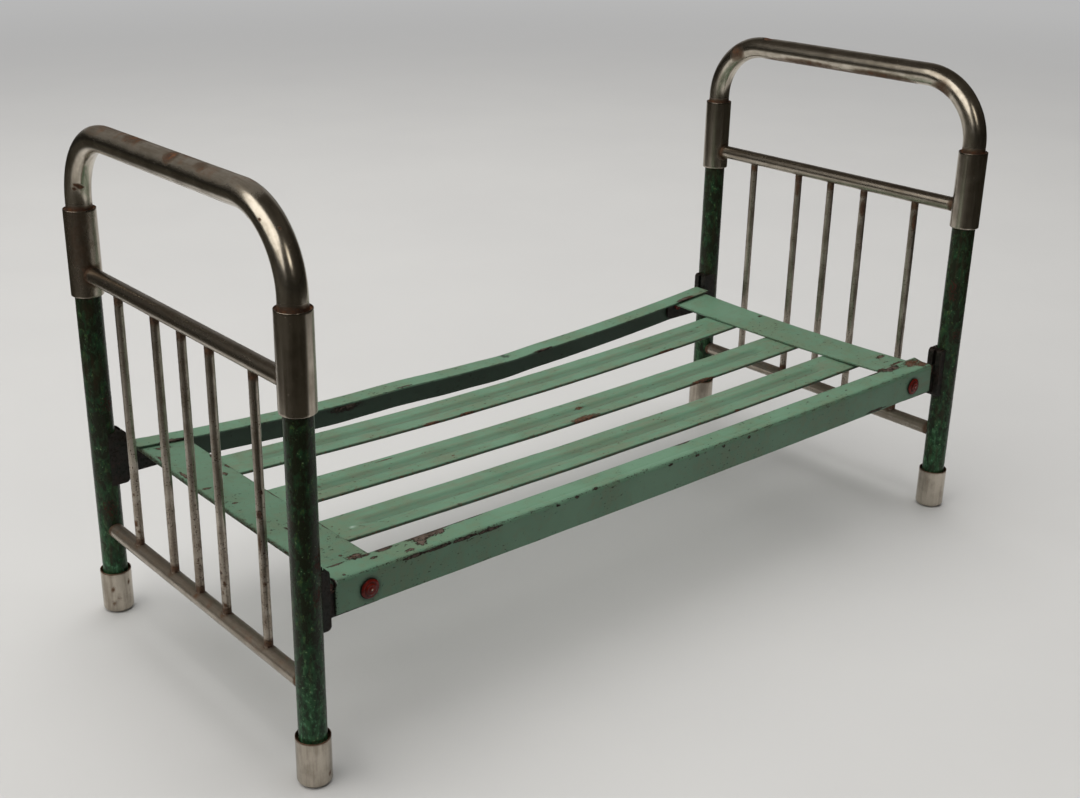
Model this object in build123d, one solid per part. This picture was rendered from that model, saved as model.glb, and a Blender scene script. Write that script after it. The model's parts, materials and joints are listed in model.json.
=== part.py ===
from build123d import *
import math
import os

# Doll's bed: two tubular metal end frames and a lift-off slatted sheet-metal base.
# Millimetres. +X runs from the foot end to the head end, +Y from the front side to the
# back side, +Z up. The origin is on the floor, at the centre of the four posts.

# ---------------------------------------------------------------- driving dimensions
LENGTH_BETWEEN_POSTS = 418.0      # centre to centre, along X
WIDTH_BETWEEN_POSTS = 180.0       # centre to centre, along Y

TUBE_OD = 12.0                    # posts and bows
TUBE_WALL = 1.0
COLLAR_OD = 15.0                  # sleeves and ferrules
COLLAR_BORE = 12.5
EDGE_ROUND = 0.6                  # softened rims of sleeves

FERRULE_HEIGHT = 21.7
FERRULE_FLOOR = 1.5
FERRULE_ROUND = 1.8

SLEEVE_BOTTOM = 163.5
SLEEVE_TOP = 204.0
BOW_TOP = 240.0                   # centre line of the bow's straight top
BOW_RADIUS = 33.0                 # centre line of its corners
POST_TOP = 183.5
TUBE_GAP = 0.6                    # between a post's top and the bow inside the sleeve

BAR_OD = 7.5
BAR_WALL = 0.8
LOWER_BAR_Z = 44.3
UPPER_BAR_Z = 174.0
BAR_END_INSIDE = 0.5              # how far a crossbar reaches past the post's wall
SPINDLE_OD = 4.0
SPINDLE_END_INSIDE = 0.6          # how far a spindle reaches past the crossbar's wall
SPINDLE_Y = (-58.0, -23.6, 0.0, 23.6, 58.0)
HOLE_EASE = 0.05                  # radial ease of every drilled hole

SHEET = 1.0                       # rails and end plates
BASE_HALF_LENGTH = 195.5
RAIL_HALF_WIDTH = 90.0            # outer faces of the two rails
RAIL_TOP = 87.5
RAIL_HEIGHT = 15.5
RAIL_FLANGE = 12.0
RAIL_FOLD = 2.0                   # outer radius of the fold
RAIL_SAG = {"front": 1.0, "back": 9.2}

PLATE_WIDTH = 25.5
PLATE_LIP = 2.0                   # depth of the turned-down outer edge
PLATE_END_GAP = 0.4               # to the rails' webs
PLATE_BELOW_FLANGE = 0.2
PLATE_SAG = {"foot": 0.8, "head": 2.0}

SLAT_WIDTH = 23.0
SLAT_SHEET = 0.8
SLAT_LIP = 1.4
SLAT_GROOVE_TOP = 8.0
SLAT_GROOVE_FLOOR = 4.0
SLAT_GROOVE_DEPTH = 0.9
SLAT_HALF_LENGTH = 188.0
SLAT_BELOW_PLATE = 0.2
SLAT_Y = (-45.8, -3.5, 43.2)
SLAT_SAG = (2.6, 3.4, 5.0)

RIVET_X = 179.5
RIVET_Z = 78.8
RIVET_HEAD_R = 4.6
RIVET_RIM = 0.6
RIVET_DOME = 2.0
RIVET_SHANK_R = 1.5
RIVET_TAIL_R = 2.6
RIVET_TAIL = 1.1

HOOK_SHEET = 1.5
HOOK_TAIL_X = 171.0
HOOK_BOTTOM = 71.0
HOOK_TOP = 82.0
HOOK_TAIL_ROUND = 4.0
HOOK_BAR_BOTTOM = 70.0            # cross bar of the hook, held in the bracket
HOOK_BAR_TOP = 86.0
HOOK_BAR_DEPTH = 1.2
HOOK_BAR_WIDTH = 5.2
HOOK_WEB_GAP = 0.05               # between the hook plate and the rail's web

BRACKET_BOTTOM = 68.0
BRACKET_TOP = 95.0
BRACKET_FACE = 3.5                # how far it stands off the post
BRACKET_WIDTH = 8.4
BRACKET_LIP = 1.0
BRACKET_POCKET_DEPTH = 1.7
BRACKET_ROUND = 2.0
SLIDE_CLEARANCE = 0.3             # all round the hook inside the bracket
STOP_CLEARANCE = 0.05             # under the hook's cross bar

# ---------------------------------------------------------------- worked-out values
POST_X = LENGTH_BETWEEN_POSTS / 2
POST_Y = WIDTH_BETWEEN_POSTS / 2
TUBE_R = TUBE_OD / 2
TUBE_BORE_R = TUBE_R - TUBE_WALL
COLLAR_R = COLLAR_OD / 2
BAR_R = BAR_OD / 2
BAR_BORE_R = BAR_R - BAR_WALL
SPINDLE_R = SPINDLE_OD / 2
BAR_HALF_LENGTH = POST_Y - TUBE_BORE_R + BAR_END_INSIDE
HOOK_Y = RAIL_HALF_WIDTH - SHEET - HOOK_WEB_GAP - HOOK_SHEET / 2

END_SIGN = {"foot": -1, "head": 1}
SIDE_SIGN = {"front": -1, "back": 1}
UP = Align.MIN
MID = Align.CENTER


def export(shape, name):
    """Write one named piece."""
    shape.label = name
    export_step(shape, f"parts/{name}.step")


def pipe(outer_r, inner_r, length):
    """A straight tube standing on Z = 0."""
    outside = Cylinder(outer_r, length, align=(MID, MID, UP))
    inside = Cylinder(inner_r, length, align=(MID, MID, UP))
    return outside - inside


def drill_y(radius, y_from, y_to, z):
    """A cutter along Y at X = 0."""
    length = abs(y_to - y_from)
    middle = (y_from + y_to) / 2
    return Pos(0, middle, z) * Rot(90, 0, 0) * Cylinder(radius, length)


# ---------------------------------------------------------------- end frames
def post(side):
    """Enamelled post tube with holes for the two crossbars on its inner wall."""
    height = POST_TOP - FERRULE_FLOOR
    tube = Pos(0, 0, FERRULE_FLOOR) * pipe(TUBE_R, TUBE_BORE_R, height)
    inward = -side
    for z in (LOWER_BAR_Z, UPPER_BAR_Z):
        tube -= drill_y(BAR_R + HOLE_EASE, 0, inward * TUBE_OD, z)
    return tube


def ferrule():
    """Nickel foot cup, open at the top, with a rounded bottom edge."""
    cup = Cylinder(COLLAR_R, FERRULE_HEIGHT, align=(MID, MID, UP))
    cup = fillet(cup.edges().group_by(Axis.Z)[0], FERRULE_ROUND)
    hollow = Cylinder(COLLAR_BORE / 2, FERRULE_HEIGHT, align=(MID, MID, UP))
    return cup - Pos(0, 0, FERRULE_FLOOR) * hollow


def sleeve(side):
    """Nickel sleeve that joins post and bow and takes the upper crossbar."""
    length = SLEEVE_TOP - SLEEVE_BOTTOM
    body = Cylinder(COLLAR_R, length, align=(MID, MID, UP))
    body = fillet(body.edges().filter_by(GeomType.CIRCLE), EDGE_ROUND)
    body -= Cylinder(COLLAR_BORE / 2, length, align=(MID, MID, UP))
    body = Pos(0, 0, SLEEVE_BOTTOM) * body
    inward = -side
    return body - drill_y(BAR_R + HOLE_EASE, 0, inward * COLLAR_OD, UPPER_BAR_Z)


def bow():
    """Tube bent to an upside-down U across the top of an end frame."""
    foot_z = POST_TOP + TUBE_GAP
    path = FilletPolyline(
        (0, -POST_Y, foot_z),
        (0, -POST_Y, BOW_TOP),
        (0, POST_Y, BOW_TOP),
        (0, POST_Y, foot_z),
        radius=BOW_RADIUS,
    )
    ring = Circle(TUBE_R) - Circle(TUBE_BORE_R)
    return sweep(Plane(origin=path @ 0, z_dir=path % 0) * ring, path=path)


def crossbar(spindle_side):
    """Horizontal tube between the posts, drilled on one side for the spindles."""
    length = 2 * BAR_HALF_LENGTH
    tube = Rot(90, 0, 0) * (Cylinder(BAR_R, length) - Cylinder(BAR_BORE_R, length))
    for y in SPINDLE_Y:
        hole = Cylinder(SPINDLE_R + HOLE_EASE, BAR_OD, align=(MID, MID, UP))
        if spindle_side < 0:
            hole = Pos(0, 0, -BAR_OD) * hole
        tube -= Pos(0, y, 0) * hole
    return tube


def spindle():
    """Thin upright rod whose ends sit inside the two crossbars."""
    reach = BAR_BORE_R - SPINDLE_END_INSIDE
    bottom = LOWER_BAR_Z + reach
    top = UPPER_BAR_Z - reach
    return Pos(0, 0, bottom) * Cylinder(SPINDLE_R, top - bottom, align=(MID, MID, UP))


def bracket():
    """Upright socket on a post's inner face: a pocket with a slot, open at the top.

    Drawn for a post at the origin, with the bed's middle towards +X and the slot's
    centre plane at Y = 0.
    """
    height = BRACKET_TOP - BRACKET_BOTTOM
    face_x = TUBE_R + BRACKET_FACE
    block = Pos(0, 0, BRACKET_BOTTOM) * Box(face_x, BRACKET_WIDTH, height, align=(UP, MID, UP))
    outer_corners = block.edges().filter_by(Axis.Y).group_by(Axis.X)[-1]
    block = fillet(outer_corners, BRACKET_ROUND)

    pocket_x = face_x - BRACKET_LIP - BRACKET_POCKET_DEPTH
    pocket_z = HOOK_BAR_BOTTOM - STOP_CLEARANCE
    pocket_width = HOOK_BAR_WIDTH + 2 * SLIDE_CLEARANCE
    slot_width = HOOK_SHEET + 2 * SLIDE_CLEARANCE
    pocket = Box(BRACKET_POCKET_DEPTH, pocket_width, height, align=(UP, MID, UP))
    slot = Box(face_x, slot_width, height, align=(UP, MID, UP))
    return block - Pos(pocket_x, 0, pocket_z) * pocket - Pos(pocket_x, 0, pocket_z) * slot


def bracket_on_post(end, side):
    """A bracket in place, its back hollowed to sit against the round post."""
    turn = Rot(0, 0, 0) if END_SIGN[end] < 0 else Rot(0, 0, 180)
    place = Pos(END_SIGN[end] * POST_X, SIDE_SIGN[side] * HOOK_Y, 0)
    seat = Pos(END_SIGN[end] * POST_X, SIDE_SIGN[side] * POST_Y, 0)
    return place * turn * bracket() - seat * Cylinder(TUBE_R, BRACKET_TOP, align=(MID, MID, UP))


def end_frame(end):
    """All the pieces of one end frame, by name."""
    x = END_SIGN[end] * POST_X
    pieces = {}
    for side, sign in SIDE_SIGN.items():
        place = Pos(x, sign * POST_Y, 0)
        pieces[f"post_{side}"] = place * post(sign)
        pieces[f"sleeve_{side}"] = place * sleeve(sign)
        pieces[f"ferrule_{side}"] = place * ferrule()
        pieces[f"bracket_{side}"] = bracket_on_post(end, side)
    pieces["bow"] = Pos(x, 0, 0) * bow()
    pieces["upper_crossbar"] = Pos(x, 0, UPPER_BAR_Z) * crossbar(-1)
    pieces["lower_crossbar"] = Pos(x, 0, LOWER_BAR_Z) * crossbar(1)
    for number, y in enumerate(SPINDLE_Y, start=1):
        pieces[f"spindle_{number}"] = Pos(x, y, 0) * spindle()
    return pieces


# ---------------------------------------------------------------- base
def arc_drop(half_length, sag, x):
    """How far a sagging arc lies below its ends at X = x."""
    radius = (half_length ** 2 + sag ** 2) / (2 * sag)
    return sag - (radius - math.sqrt(radius ** 2 - x ** 2))


def sweep_sagging(section, y, half_length, foot_z, head_z, sag):
    """Sweep a section, drawn with +X across the bed and +Y up, along a sagging arc."""
    middle_z = (foot_z + head_z) / 2 - sag
    path = ThreePointArc((-half_length, y, foot_z), (0, y, middle_z), (half_length, y, head_z))
    start = Plane(origin=path @ 0, x_dir=(0, 1, 0), z_dir=path % 0)
    return sweep(start * section, path=path)


def side_rail(side):
    """Angle rail: a level flange on top and a web down its outer side."""
    inward = -SIDE_SIGN[side]
    outline = [
        (0, 0), (RAIL_FLANGE, 0), (RAIL_FLANGE, -SHEET),
        (SHEET, -SHEET), (SHEET, -RAIL_HEIGHT), (0, -RAIL_HEIGHT),
    ]
    points = [(inward * across, up) for across, up in outline]
    section = make_face(Polyline(*points, close=True))
    outer_corner = section.vertices().sort_by_distance((0, 0))[0]
    section = fillet(outer_corner, RAIL_FOLD)
    inner_corner = section.vertices().sort_by_distance((inward * SHEET, -SHEET))[0]
    section = fillet(inner_corner, RAIL_FOLD - SHEET)

    y = SIDE_SIGN[side] * RAIL_HALF_WIDTH
    rail = sweep_sagging(section, y, BASE_HALF_LENGTH, RAIL_TOP, RAIL_TOP, RAIL_SAG[side])
    for end in END_SIGN.values():
        hole = drill_y(RIVET_SHANK_R + HOLE_EASE, y - RAIL_FOLD, y + RAIL_FOLD, RIVET_Z)
        rail -= Pos(end * RIVET_X, 0, 0) * hole
    return rail


def plate_top(end, x, y):
    """Height of an end plate's top face: it follows both rails and sags between them."""
    under_flange = SHEET + PLATE_BELOW_FLANGE
    heights = {}
    for side in SIDE_SIGN:
        drop = arc_drop(BASE_HALF_LENGTH, RAIL_SAG[side], x)
        heights[side] = RAIL_TOP - drop - under_flange
    share = (y + RAIL_HALF_WIDTH) / (2 * RAIL_HALF_WIDTH)
    level = heights["front"] * (1 - share) + heights["back"] * share
    return level - PLATE_SAG[end] * (1 - (y / RAIL_HALF_WIDTH) ** 2)


def end_plate(end):
    """Wide cross plate under the rails' flanges, with its outer edge turned down."""
    sign = END_SIGN[end]
    outer_x = BASE_HALF_LENGTH
    inner_x = BASE_HALF_LENGTH - PLATE_WIDTH
    half_width = RAIL_HALF_WIDTH - SHEET - PLATE_END_GAP
    sections = []
    for y in (-half_width, 0, half_width):
        outer_z = plate_top(end, outer_x, y)
        inner_z = plate_top(end, inner_x, y)
        outline = [
            (outer_x, outer_z), (inner_x, inner_z), (inner_x, inner_z - SHEET),
            (outer_x - SHEET, outer_z - SHEET), (outer_x - SHEET, outer_z - PLATE_LIP),
            (outer_x, outer_z - PLATE_LIP),
        ]
        corners = [(sign * x, y, z) for x, z in outline]
        sections.append(make_face(Polyline(*corners, close=True)))
    return loft(sections)


def slat(number):
    """Lengthwise slat with turned-down edges and a pressed groove."""
    half = SLAT_WIDTH / 2
    half_top = SLAT_GROOVE_TOP / 2
    half_floor = SLAT_GROOVE_FLOOR / 2
    right_top = [(half_floor, -SLAT_GROOVE_DEPTH), (half_top, 0), (half, 0)]
    right_under = [
        (half, -SLAT_LIP), (half - SLAT_SHEET, -SLAT_LIP), (half - SLAT_SHEET, -SLAT_SHEET),
        (half_top, -SLAT_SHEET), (half_floor, -SLAT_GROOVE_DEPTH - SLAT_SHEET),
    ]
    right = right_top + right_under
    left = [(-across, up) for across, up in reversed(right)]
    section = make_face(Polyline(*right, *left, close=True))

    y = SLAT_Y[number - 1]
    sag = SLAT_SAG[number - 1]
    end_z = {}
    for end, sign in END_SIGN.items():
        room = []
        for x in (SLAT_HALF_LENGTH, BASE_HALF_LENGTH - PLATE_WIDTH):
            drop = arc_drop(SLAT_HALF_LENGTH, sag, x)
            room += [plate_top(end, sign * x, y + across) + drop for across in (-half, 0, half)]
        end_z[end] = min(room) - SHEET - SLAT_BELOW_PLATE
    return sweep_sagging(section, y, SLAT_HALF_LENGTH, end_z["foot"], end_z["head"], sag)


def hook_plate(end, side):
    """Plate riveted inside a rail's end, with a T-shaped hook for the bracket."""
    face_x = POST_X - TUBE_R - BRACKET_FACE
    bar_x = face_x + BRACKET_LIP + (BRACKET_POCKET_DEPTH - HOOK_BAR_DEPTH) / 2
    height = HOOK_TOP - HOOK_BOTTOM
    length = bar_x + HOOK_BAR_DEPTH - HOOK_TAIL_X
    plate = Pos(HOOK_TAIL_X, 0, HOOK_BOTTOM) * Box(length, HOOK_SHEET, height, align=(UP, MID, UP))
    tail = plate.edges().filter_by(Axis.Y).group_by(Axis.X)[0]
    plate = fillet(tail, HOOK_TAIL_ROUND)

    neck_x = BASE_HALF_LENGTH + PLATE_END_GAP + RAIL_FOLD
    bar_height = HOOK_BAR_TOP - HOOK_BAR_BOTTOM
    neck = Box(bar_x - neck_x, HOOK_SHEET, bar_height, align=(UP, MID, UP))
    bar = Box(HOOK_BAR_DEPTH, HOOK_BAR_WIDTH, bar_height, align=(UP, MID, UP))
    plate += Pos(neck_x, 0, HOOK_BAR_BOTTOM) * neck + Pos(bar_x, 0, HOOK_BAR_BOTTOM) * bar
    plate -= Pos(RIVET_X, 0, 0) * drill_y(RIVET_SHANK_R + HOLE_EASE, -HOOK_SHEET, HOOK_SHEET, RIVET_Z)
    turn = Rot(0, 0, 180) if END_SIGN[end] < 0 else Rot(0, 0, 0)
    return Pos(0, SIDE_SIGN[side] * HOOK_Y, 0) * turn * plate


def rail_rivet(end, side):
    """Domed rivet through a rail's web and its hook plate."""
    grip = SHEET + HOOK_WEB_GAP + HOOK_SHEET
    crown = RIVET_DOME - RIVET_RIM
    ball_r = (RIVET_HEAD_R ** 2 + crown ** 2) / (2 * crown)
    rim = Cylinder(RIVET_HEAD_R, RIVET_DOME, align=(MID, MID, UP))
    head = rim & Pos(0, 0, RIVET_DOME - ball_r) * Sphere(ball_r)
    shank = Cylinder(RIVET_SHANK_R, grip, align=(MID, MID, UP))
    tail = Cylinder(RIVET_TAIL_R, RIVET_TAIL, align=(MID, MID, UP))
    upright = head + Pos(0, 0, -grip) * shank + Pos(0, 0, -grip - RIVET_TAIL) * tail
    tip = Rot(90, 0, 0) if SIDE_SIGN[side] < 0 else Rot(-90, 0, 0)
    y = SIDE_SIGN[side] * RAIL_HALF_WIDTH
    return Pos(END_SIGN[end] * RIVET_X, y, RIVET_Z) * tip * upright


def base():
    """All the pieces of the lift-off base, by name."""
    pieces = {}
    for side in SIDE_SIGN:
        pieces[f"{side}_side_rail"] = side_rail(side)
    for end in END_SIGN:
        pieces[f"{end}_end_plate"] = end_plate(end)
    for number in range(1, len(SLAT_Y) + 1):
        pieces[f"slat_{number}"] = slat(number)
    for end in END_SIGN:
        for side in SIDE_SIGN:
            pieces[f"hook_plate_{end}_{side}"] = hook_plate(end, side)
            pieces[f"rail_rivet_{end}_{side}"] = rail_rivet(end, side)
    return pieces


os.makedirs("parts", exist_ok=True)
for end_name in END_SIGN:
    for piece_name, piece in end_frame(end_name).items():
        export(piece, f"{end_name}_{piece_name}")
for piece_name, piece in base().items():
    export(piece, piece_name)
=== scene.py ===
import json
import math

import bmesh
import bpy
from mathutils import Matrix, Vector, noise
from mathutils.bvhtree import BVHTree


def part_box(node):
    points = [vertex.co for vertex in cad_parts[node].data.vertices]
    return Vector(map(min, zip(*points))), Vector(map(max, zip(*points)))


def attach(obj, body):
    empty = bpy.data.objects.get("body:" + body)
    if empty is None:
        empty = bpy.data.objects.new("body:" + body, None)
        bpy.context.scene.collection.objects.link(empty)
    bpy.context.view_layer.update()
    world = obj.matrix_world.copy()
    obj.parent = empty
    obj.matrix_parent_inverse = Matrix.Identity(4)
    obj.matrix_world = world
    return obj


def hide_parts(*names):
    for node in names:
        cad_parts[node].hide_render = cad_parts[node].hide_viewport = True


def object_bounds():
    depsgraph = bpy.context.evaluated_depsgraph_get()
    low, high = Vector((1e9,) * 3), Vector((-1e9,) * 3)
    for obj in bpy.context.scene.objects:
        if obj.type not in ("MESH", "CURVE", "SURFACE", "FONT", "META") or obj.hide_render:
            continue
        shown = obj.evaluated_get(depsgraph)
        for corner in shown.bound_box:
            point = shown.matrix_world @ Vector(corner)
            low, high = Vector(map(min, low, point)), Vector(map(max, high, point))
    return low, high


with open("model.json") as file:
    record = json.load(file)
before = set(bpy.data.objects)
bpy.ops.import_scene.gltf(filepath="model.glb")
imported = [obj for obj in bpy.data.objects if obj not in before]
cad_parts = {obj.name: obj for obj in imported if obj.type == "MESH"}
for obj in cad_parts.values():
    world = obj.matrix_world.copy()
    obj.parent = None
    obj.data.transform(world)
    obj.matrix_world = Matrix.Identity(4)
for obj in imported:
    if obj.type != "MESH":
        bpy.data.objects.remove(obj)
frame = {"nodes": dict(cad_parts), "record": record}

# The looks of a doll's bed: nickel-plated bows, bars and collars, dark green enamelled posts,
# and a slatted base of sage green painted sheet. The shapes below are worked out in
# millimetres from the frame's boxes, apart from the bends and rust that RAIL PLACES gives.
# +X runs from the foot end to the head end, +Y from the front side to the back side, +Z up.

CAD_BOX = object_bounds()
MM = 0.001
X_AXIS = Vector((1, 0, 0))
Z_AXIS = Vector((0, 0, 1))
ENDS = {"foot": -1, "head": 1}
SIDES = {"front": -1, "back": 1}
SPINDLES = range(1, 6)
BODY_OF = {
    node: body
    for body, nodes in frame["record"]["behaviour"]["bodies"].items()
    for node in nodes
}

# ------------------------------------------------------------------ sizes, in millimetres
BOW_BEND = 33.0               # centre line of the bows' corners
TUBE_WALL = 1.0
BAR_WALL = 0.8
SHEET = 1.0
SLAT_SHEET = 0.8
HOOK_SHEET = 1.5
RAIL_FOLD = 2.0               # outer radius of the rails' fold
PLATE_LIP = 2.0
PLATE_FOLD = 1.1
SLAT_LIP = 1.4
SLAT_FOLD = 0.9
GROOVE_DEPTH = 0.9
GROOVE_FLOOR = 1.6            # half width of the groove's flat floor
GROOVE_HALF = 4.2             # half width of the groove at its top
GROOVE_START = 13.0           # from an end plate's inner edge to the groove's end
GROOVE_RUN_OUT = 9.0
RIM = 0.45                    # thickness of the collars' thin rims
COLLAR_GAP = 0.06             # between a collar's bore and the tube inside it
CUT_EDGE = 0.14               # softening of cut sheet edges
STATION = 1.5                 # spacing of the points along sheets

# RAIL PLACES: single places along X, set from the photo and not from the frame.
CREASE_RUN = (-118, -100, 60, 84)        # the front rail's crease: starts, full, fades, ends
FLANGE_BEND = (160, 188)      # where the front rail's flange starts to bend, and is bent
FOLD_PIMPLE = -76             # a bump on the front rail's fold
BACK_DENT = -38
BACK_BUMP = 36
RAIL_END_RUST = (178, 185)    # where the head end's browner rust begins, and is full


# ------------------------------------------------------------------ reading the frame
def box_mm(node):
    """Lowest and highest corner of a CAD node, in millimetres."""
    low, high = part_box(node)
    return low / MM, high / MM


def middle(low, high):
    return (low + high) / 2


def upright(node):
    """An upright tube's lowest and highest corner, its radius, and its axis's X and Y."""
    low, high = box_mm(node)
    return low, high, (high.x - low.x) / 2, middle(low.x, high.x), middle(low.y, high.y)


def middle_of(node, axis):
    low, high = box_mm(node)
    return middle(getattr(low, axis), getattr(high, axis))


def top_of(node):
    """A function that gives the height of a CAD node's upper face, in millimetres."""
    mesh = frame["nodes"][node].data
    corners = [vertex.co for vertex in mesh.vertices]
    tree = BVHTree.FromPolygons(corners, [face.vertices for face in mesh.polygons])

    def height(x, y):
        above = Vector((x * MM, y * MM, 1.0))
        return tree.ray_cast(above, Vector((0, 0, -1)))[0].z / MM

    return height


def curve_through(samples):
    """The smooth curve through three (position, height) samples."""
    (a, at_a), (b, at_b), (c, at_c) = samples

    def height(t):
        part_a = at_a * (t - b) * (t - c) / ((a - b) * (a - c))
        part_b = at_b * (t - a) * (t - c) / ((b - a) * (b - c))
        part_c = at_c * (t - a) * (t - b) / ((c - a) * (c - b))
        return part_a + part_b + part_c

    return height


def steps(start, stop, spacing):
    """Evenly spaced values from start to stop, about this far apart."""
    count = max(1, round(abs(stop - start) / spacing))
    return [start + (stop - start) * k / count for k in range(count + 1)]


def smooth_step(value, low, high):
    share = min(1.0, max(0.0, (value - low) / (high - low)))
    return share * share * (3 - 2 * share)


def hump(value, centre, width):
    return math.exp(-((value - centre) / width) ** 2)


def wave(point, size, seed=0):
    """Smooth noise from -1 to 1 that changes over about this many millimetres."""
    return noise.noise(point / size + Vector((seed, 3.7 * seed, 1.9 * seed)))


# ------------------------------------------------------------------ wear that has a place
def row(first, last, count, reach, strength=1.0):
    """Equal marks, evenly spaced from one place to another."""
    shares = [k / (count - 1) for k in range(count)]
    return [
        (tuple(a + (b - a) * share for a, b in zip(first, last)), reach, strength)
        for share in shares
    ]


NICK = (0.7, 90)               # the dent in the head bow's top
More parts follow.
